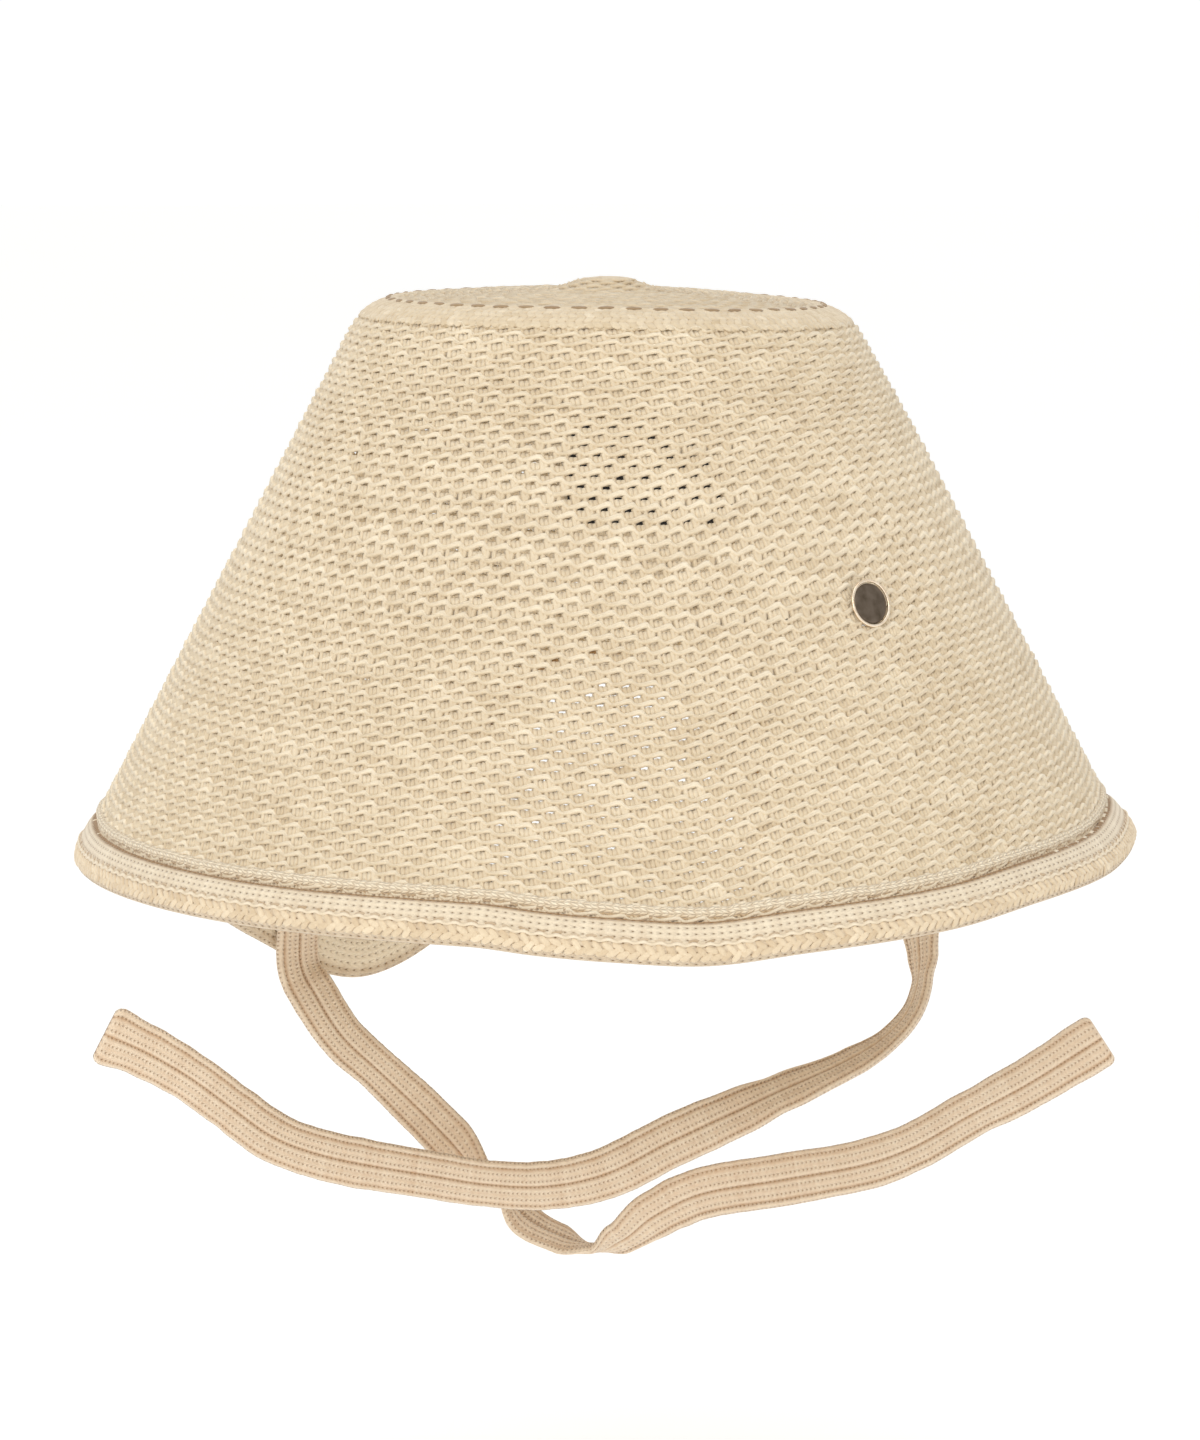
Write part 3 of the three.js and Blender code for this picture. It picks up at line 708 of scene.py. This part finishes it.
# Up the ridge and through it, as shares of its height and of its thickness
ridge_section = rounded(np.array([
    (1, 0.34), (0.5, 0.5), (0.0, 0.36), (-0.3, -0.12), (0.0, -0.4), (0.5, -0.5), (1, -0.4), (1.08, -0.05)]))
ridge_count = 1300
ridge_wrap = 3.1 * mm
place = np.arange(ridge_count)[:, None] * rim_length / ridge_count
up, through = ridge_section.T
wraps = round(rim_length / ridge_wrap)
twist = np.sin(2 * pi * (place / rim_length * wraps - up * 0.45))
wobble = rng.normal(0, 1, (ridge_count, 1))
wobble = (np.roll(wobble, 1, axis=0) + wobble + np.roll(wobble, -1, axis=0)) * 0.05 * mm
rings = on_rim(place, hem_at(place) + gap + up * ridge_height + wobble,
               through * (wall + 2 * ridge_proud) - wall / 2 + np.sign(through) * (twist - 1) * 0.13 * mm)
# Tone: lighter on the proud part of each wrap and much darker towards the underside, painted shade between
# the wraps and in the groove.
tone = (0.85 + 0.2 * twist) * np.clip((up + 0.1) * 3, 0.1, 1)
ridge = loft("linked_ridge", rings, True, tone, ridge_yarn)
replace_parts(ridge, "seam_ridge")
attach(ridge, "root")

# The hem: a folded double band of fine jersey, knitted with the same yarn. Its face shows
# a plain upper strip, one loose bright thread half way down, and below it a thicker band
# of slanting stitches that rolls under at the edge.
hem_yarn = yarn_cloth("hem_jersey_yarn", (0.36, 0.21, 0.09), (0.885, 0.765, 0.58), depth=0.0005,
                      wale=0.75 * mm, course=2.1 * mm, contrast=1.5, dotted=True)
edge_yarn = yarn_cloth("rolled_edge_yarn", (0.50, 0.34, 0.18), (0.98, 0.845, 0.63))
# Up the hem and through it, as shares of its height and of its thickness
hem_section = rounded(np.array([
    (0.99, 0.0), (0.93, 0.3), (0.82, 0.45), (0.55, 0.48), (0.3, 0.49), (0.07, 0.28),
    (0, -0.08), (0.1, -0.42), (0.45, -0.5), (0.8, -0.46), (1, -0.4), (1.01, -0.2)]))
hem_count = 640
place = np.arange(hem_count)[:, None] * rim_length / hem_count
up, through = hem_section.T
rings = on_rim(place, up * hem_at(place), through * (hem_thickness - 0.2 * mm)
               + hem_at(place, 3, hem_thickness) * (1 - up) - wall / 2)
# Tone: very dark along the top, painted shade for the groove under the ridge; darker over the lower band,
# painted shade between its stitches; and the inside faces made lighter, painted light where they stand in
# shadow.
front = (through > -0.45) | (up > 0.88)
front_tone_with_painted_shade = np.interp(up, (0, 0.4, 0.52, 0.84, 0.9, 0.95), (0.45, 0.5, 0.8, 0.88, 0.1, -0.9))
inside_painted_light = 1.2
tone = np.where(front, front_tone_with_painted_shade, inside_painted_light)
tone = tone + rng.normal(0, 0.06, (hem_count, 1))
hem = loft("jersey_hem", rings, True, tone, hem_yarn)

thread_yarn = yarn_cloth("bright_hem_thread", (0.70, 0.55, 0.36), (0.93, 0.82, 0.64))
thread_count = 1560
thread_pitch = 4.1 * mm
thread_place = np.arange(thread_count)[:, None] * rim_length / thread_count
dips = round(rim_length / thread_pitch)
turn = np.arange(5) * 2 * pi / 5
ripple = 0.22 * mm * np.cos(2 * pi * thread_place / rim_length * dips)
thread_in = hem_at(thread_place) * 0.46 + ripple + 0.42 * mm * np.cos(turn)
thread_out = (hem_thickness / 2 - wall / 2 - 0.02 * mm + hem_at(thread_place, 3, hem_thickness) * 0.54
              + 0.3 * mm * np.sin(turn) + ripple * 0.3)
tone = np.broadcast_to(0.6 + 0.2 * np.cos(2 * pi * thread_place / rim_length * dips), (thread_count, 5))
thread = loft("hem_thread", on_rim(thread_place, thread_in, thread_out), True, tone, thread_yarn)


def rim_strokes(name, count, length, width, slant, up_share, thick, cloth, shift=0.0, shade=0.55):
    """Short slanting stitches, evenly along the rim at one height of the hem."""
    along, aside, out = (stroke_points * np.array([length, width, thick])).T
    lean = radians(slant)
    start = (np.arange(count)[:, None] + shift) * rim_length / count
    jitter = rng.normal(0, 1, (count, 3))
    swing = lean + jitter[:, :1] * 0.14
    place = start + along * np.cos(swing) - aside * np.sin(swing)
    inward = hem_at(start) * up_share + along * np.sin(swing) + aside * np.cos(swing)
    inward = inward + jitter[:, 1:2] * 0.1 * mm
    share = np.clip(inward / hem_at(start), 0, 1)
    face = np.interp(share, (0, 0.04, 0.12, 0.3, 1), (0.1, 0.24, 0.38, 0.47, 0.47)) * hem_thickness
    lift = face - wall / 2 + hem_at(start, 3, hem_thickness) * (1 - share) + out - 0.12 * mm
    points = on_rim(place, inward, lift).reshape(-1, 3)
    faces = (stroke_faces[None] + (np.arange(count) * len(stroke_points))[:, None, None]).reshape(-1, 4)
    tone = np.repeat(np.clip(shade + 0.1 * jitter[:, 2], -0.9, 1), len(stroke_points))
    return piece_from(name, points, faces, tone, cloth)


vee_pitch = 2.5 * mm
vees = round(rim_length / vee_pitch)
strokes = [rim_strokes("upper_hem_stitches", vees, 2.3 * mm, 1.0 * mm, -42, 0.335, 0.45 * mm, edge_yarn),
           rim_strokes("lower_hem_stitches", vees, 2.3 * mm, 1.0 * mm, 30, 0.2, 0.4 * mm, edge_yarn, 0.5),
           # Short dark bars above the bright thread: painted shadow where it dips into the hem.
           rim_strokes("thread_dip_shadows", dips, 1.9 * mm, 0.55 * mm, 0, 0.52, 0.3 * mm, hem_yarn, 0.0, 0.3)]
for piece in (hem, thread, *strokes):
    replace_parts(piece, "hem_band")
    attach(piece, "root")

# The ties: two ribbed straps of the same yarn, each sewn inside the hem at the back and hanging free.
# Lengthwise grooves part the wales, with painted shade darkening the tone in them, and their ends are left
# plain and round.
tie_length = 295 * mm
tie_width = 15 * mm
tie_thickness = 3 * mm
tie_sewn_height = 13 * mm
tie_seat_gap = 0.7 * mm
left_tie_azimuth = -139.5
right_tie_azimuth = 138.5
tie_stations = 340
tie_taper = 2.4 * mm
tie_edge = 1.5 * mm

# Where each lengthwise groove lies across the tie, from -0.5 to 0.5, and its depth in mm
tie_grooves = ((-0.38, 0.55), (0.0, 0.6), (0.34, 0.6), (-0.19, 0.2), (0.17, 0.2))

# across, down and fore as shares of tie_length, turn in degrees, seated, and width
left_route = np.array([
    (0, 0, 0, 0, 1, 1), (0, 0.05, 0, 0, 1, 1), (0.013, 0.073, 0.009, 0, 0.6, 0.96),
    (0.042, 0.115, 0.02, 0, 0.3, 0.88), (0.077, 0.147, 0.023, 0, 0, 0.86),
    (0.115, 0.183, 0.026, -4, 0, 0.95),
    (0.143, 0.211, 0.029, -10, 0, 1), (0.18, 0.25, 0.029, -62, 0, 1), (0.217, 0.291, 0.033, -118, 0, 1),
    (0.251, 0.31, 0.033, -110, 0, 1), (0.281, 0.319, 0.036, -80, 0, 1), (0.31, 0.308, 0.04, -38, 0, 1),
    (0.342, 0.284, 0.046, -10, 0, 1), (0.385, 0.262, 0.053, 0, 0, 1), (0.466, 0.246, 0.06, 6, 0, 1),
    (0.548, 0.23, 0.06, 4, 0, 0.97), (0.593, 0.214, 0.053, 0, 0, 0.94), (0.643, 0.187, 0.043, -6, 0, 0.94),
    (0.698, 0.159, 0.036, 0, 0, 1), (0.77, 0.111, 0.046, 6, 0, 1.08),
])
right_route = np.array([
    (0, 0, 0, 0, 1, 1), (0, 0.05, 0, 0, 1, 1), (0.003, 0.084, 0.01, -26, 0.7, 0.9),
    (0.002, 0.108, 0.019, -58, 0.4, 0.85), (-0.008, 0.134, 0.033, -76, 0, 0.85),
    (-0.031, 0.159, 0.042, -76, 0, 0.9), (-0.07, 0.181, 0.053, -68, 0, 0.95),
    (-0.135, 0.207, 0.066, -50, 0, 0.95), (-0.181, 0.226, 0.073, -28, 0, 0.97),
    (-0.236, 0.249, 0.08, -8, 0, 1), (-0.304, 0.282, 0.083, 0, 0, 1), (-0.36, 0.293, 0.083, 4, 0, 0.95),
    (-0.414, 0.291, 0.083, 4, 0, 0.92), (-0.47, 0.283, 0.08, 0, 0, 0.92),
    (-0.568, 0.267, 0.07, -4, 0, 0.97),
    (-0.618, 0.251, 0.06, -6, 0, 0.97), (-0.66, 0.223, 0.05, 0, 0, 0.97), (-0.7, 0.195, 0.043, 4, 0, 1),
    (-0.742, 0.17, 0.046, 0, 0, 1.05), (-0.779, 0.151, 0.056, 0, 0, 1.2),
])


def curve_through(centres, steps):
    """A smooth line through the centres, with the share of the way for each of its points."""
    ends = np.concatenate((2 * centres[:1] - centres[1:2], centres, 2 * centres[-1:] - centres[-2:-1]))
    t = np.arange(steps)[:, None] / steps
    line = []
    for p0, p1, p2, p3 in zip(ends[:-3], ends[1:-2], ends[2:-1], ends[3:]):
        d0, d1, d2 = (np.sqrt(np.linalg.norm(b - a)) for a, b in ((p0, p1), (p1, p2), (p2, p3)))
        t1 = ((p1 - p0) / d0 - (p2 - p0) / (d0 + d1) + (p2 - p1) / d1) * d1
        t2 = ((p2 - p1) / d1 - (p3 - p1) / (d1 + d2) + (p3 - p2) / d2) * d1
        line.append(p1 + t1 * t + (3 * (p2 - p1) - 2 * t1 - t2) * t**2 + (2 * (p1 - p2) + t1 + t2) * t**3)
    return np.concatenate((*line, centres[-1:])), np.arange(len(line) * steps + 1) / steps


def strap(name, azimuth, route, cloth):
    """A ribbed strap along its route, from where it is sewn to its round end."""
    out = -wall / 2 - hem_thickness / 2 - tie_seat_gap - tie_thickness / 2
    sewn = rim_height(np.array([azimuth])) + tie_sewn_height
    root = on_side(np.array([azimuth]), sewn, out)[0]
    seat_turn = (180 - abs(azimuth)) * -np.sign(azimuth)
    centres = root + np.stack((route[:, 0], -route[:, 2], -route[:, 1]), axis=1) * tie_length
    line, shares = curve_through(centres, 40)
    lengths = np.concatenate(([0], np.cumsum(np.linalg.norm(np.diff(line, axis=0), axis=1))))
    total = lengths[-1]
    near_end = total - np.array([1.7, 1.1, 0.6, 0.25, 0.05]) * mm
    at = np.concatenate((np.linspace(0, total - tie_taper, tie_stations), near_end))
    share = np.minimum(np.interp(at, lengths, shares), len(route) - 1.000001)
    low = share.astype(int)
    blend = (share - low) ** 2 * (3 - 2 * (share - low))
    value = route[low] * (1 - blend[:, None]) + route[low + 1] * blend[:, None]
    middle = np.stack([np.interp(at, lengths, line[:, k]) for k in range(3)], axis=1)
    slope = np.gradient(line, lengths, axis=0)
    along = np.stack([np.interp(at, lengths, slope[:, k]) for k in range(3)], axis=1)
    along /= np.linalg.norm(along, axis=1, keepdims=True)
    face = np.array([[0, -1, 0]]) + along * along[:, 1:2]
    face /= np.linalg.norm(face, axis=1, keepdims=True)
    across = np.cross(along, face)
    turn = np.radians(value[:, 3] + value[:, 4] * seat_turn)[:, None]
    turned = face * np.cos(turn) - across * np.sin(turn)
    wide = across * np.cos(turn) + face * np.sin(turn)
    before = total - at
    ending = np.interp(before, (0, 0.8 * mm, tie_taper), (0.8, 0.94, 1))
    thinning = np.sqrt(np.clip(1 - (1 - np.clip(before / tie_edge, 0, 1)) ** 2, 0.03, 1))
    t = np.concatenate((np.linspace(-0.5, 0.5, 21)[:-1], np.linspace(0.5, -0.5, 21)[:-1]))
    side = np.where(np.arange(40) < 20, 1.0, -1.0)
    body = (1 - np.abs(2 * t) ** 5) ** 0.5 * (tie_thickness / 2 - 0.05 * mm)
    grooves = sum(deep * np.exp(-(((t - place) / 0.03) ** 2)) for place, deep in tie_grooves)
    height = np.maximum(body - grooves * mm, 0.1 * body) * side
    ragged = np.convolve(rng.normal(0, 1, len(at) + 4), np.full(5, 0.2), "valid") * 0.02
    width = (tie_width * value[:, 5] * ending * (0.99 + ragged))[:, None]
    rings = (middle[:, None] + wide[:, None] * (width * t)[..., None]
             + turned[:, None] * (thinning[:, None] * height)[..., None])
    # The tone darkens in the grooves: painted shade.
    tone = 0.85 - grooves * 1.3 + rng.normal(0, 0.06, (len(at), 1))
    piece = loft(name, rings, False, np.broadcast_to(tone, rings.shape[:2]), cloth)
    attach(piece, "root")
    return piece


tie_yarn = yarn_cloth("ribbed_tie_yarn", (0.56, 0.33, 0.17), (0.905, 0.755, 0.575), depth=0.0005,
                      wale=1.0 * mm, course=1.2 * mm, contrast=1.5, dotted=True)
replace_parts(strap("ribbed_left_tie", left_tie_azimuth, left_route, tie_yarn), "left_tie")
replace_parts(strap("ribbed_right_tie", right_tie_azimuth, right_route, tie_yarn), "right_tie")

# The badge: a small domed disc of dark metal in a thin pale ring, pressed on the front.
# A post goes through the knit to a plain washer inside, which the cloth hides.
badge_radius = 6.1 * mm
badge_azimuth = np.array([39.9])
badge_height = np.array([-71.2 * mm])
badge_foot = on_side(badge_azimuth, badge_height, 0.0)[0]
badge_ahead = on_side(badge_azimuth, badge_height, 1.0)[0] - badge_foot
badge_turn = Vector(badge_ahead).to_track_quat("Z", "Y").to_euler()

# The soft knit lets the face and its ring hang a little more upright than the cloth
face_ahead = badge_ahead + np.array([0, -0.05, -0.19])
face_ahead /= np.linalg.norm(face_ahead)
face_turn = Vector(face_ahead).to_track_quat("Z", "Y").to_euler()


def metal(name, dark, bright, roughness, scratches):
    """Bare metal with a soft wear pattern in its colour and its roughness."""
    made, wire = empty_material(name)
    place = wire.add("ShaderNodeTexCoord", out="Object")
    wear = wire.add("ShaderNodeTexNoise", inputs={"Vector": place, "Scale": scratches, "Detail": 6.0},
                    out="Fac")
    colour = wire.add("ShaderNodeValToRGB", {"stops": [(0.3, dark), (0.7, bright)]}, {"Fac": wear})
    rough = wear * 0.25 + roughness
    bump = wire.add("ShaderNodeBump", inputs={"Strength": 0.4, "Distance": 0.00004, "Height": wear})
    surface = wire.add("ShaderNodeBsdfPrincipled", inputs={
        "Base Color": colour, "Metallic": 1.0, "Roughness": rough, "Normal": bump})
    wire.add("ShaderNodeOutputMaterial", inputs={"Surface": surface})
    return made


def finished(name, node, material):
    """Names the active piece, settles its place, and puts it in its solid's stead."""
    piece = bpy.context.object
    piece.name = name
    bpy.ops.object.transform_apply(location=True, rotation=True, scale=True)
    bpy.ops.object.shade_smooth_by_angle(angle=radians(40))
    piece.data.materials.clear()
    piece.data.materials.append(material)
    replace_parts(piece, node)
    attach(piece, "root")


bpy.ops.object.select_all(action="DESELECT")
bpy.ops.mesh.primitive_uv_sphere_add(segments=48, ring_count=20, radius=1, rotation=face_turn,
                                     location=badge_foot + badge_ahead * 1.0 * mm)
bpy.context.object.scale = (badge_radius - 1.05 * mm, badge_radius - 1.05 * mm, 0.62 * mm)
gunmetal = metal("gunmetal", (0.10, 0.075, 0.052), (0.19, 0.15, 0.115), 0.25, 350.0)
finished("domed_face", "badge_face", gunmetal)

bpy.ops.object.select_all(action="DESELECT")
bpy.ops.mesh.primitive_torus_add(major_segments=64, minor_segments=14, minor_radius=0.4 * mm,
                                 major_radius=badge_radius - 0.42 * mm, rotation=face_turn,
                                 location=badge_foot + badge_ahead * 1.15 * mm)
rose_plate = metal("rose_plate", (0.80, 0.62, 0.44), (0.97, 0.86, 0.70), 0.15, 500.0)
finished("pale_ring", "badge_rim", rose_plate)

bpy.ops.object.select_all(action="DESELECT")
bpy.ops.mesh.primitive_cylinder_add(vertices=32, radius=4 * mm, depth=0.8 * mm, rotation=badge_turn,
                                    location=badge_foot - badge_ahead * (wall + gap + 0.4 * mm))
washer = bpy.context.object
bpy.ops.object.modifier_add(type="BEVEL")
washer.modifiers[0].width = 0.15 * mm
washer.modifiers[0].segments = 2
bpy.ops.object.modifier_apply(modifier=washer.modifiers[0].name)
bpy.ops.object.select_all(action="DESELECT")
bpy.ops.mesh.primitive_cylinder_add(vertices=24, radius=1.2 * mm, depth=wall + gap + 0.2 * mm,
                                    rotation=badge_turn,
                                    location=badge_foot - badge_ahead * ((wall + gap) / 2 + 0.1 * mm))
washer.select_set(True)
bpy.ops.object.join()
steel = metal("plain_steel", (0.42, 0.42, 0.41), (0.6, 0.6, 0.59), 0.3, 300.0)
finished("post_and_washer", "badge_back", steel)

# The inner label: a dark woven patch with turned-in edges, sewn inside the back with a
# running stitch. Its face is bare, and it shows only through the slots of the knit.
label_steps = 44
label_azimuth = 173
label_z = -51 * mm
label_width = 43 * mm
label_height = 31 * mm
label_thickness = 0.8 * mm
label_pucker = 0.12 * mm
label_half = np.degrees(label_width / 2 / side_radius(np.array(label_z)))
label_cloth = yarn_cloth("dark_woven_label", (0.010, 0.009, 0.009), (0.03, 0.028, 0.027), depth=0.0001,
                         sheen=0.1, wale=0.5 * mm, course=0.6 * mm)

# Up the label and through it, as shares of its height and of its thickness
label_rows = rounded(np.array([
    (0.5, -0.3), (0.47, 0.0), (0.16, 0.0), (-0.16, 0.0), (-0.47, 0.0), (-0.5, -0.3),
    (-0.5, -0.7), (-0.47, -1.0), (-0.16, -1.0), (0.16, -1.0), (0.47, -1.0), (0.5, -0.7)]))
azimuths = label_azimuth + label_half * np.linspace(-1, 1, label_steps)[:, None]
pucker = label_pucker * np.sin(np.arange(label_steps)[:, None] * 1.9) * (np.abs(label_rows[:, 0]) > 0.4)
rings = on_side(azimuths, label_z + label_rows[:, 0] * label_height,
                -wall - gap + label_rows[:, 1] * label_thickness + pucker - label_pucker)
label = loft("woven_label", rings, False, np.full(rings.shape[:2], 0.5), label_cloth)
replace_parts(label, "inner_label")
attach(label, "root")
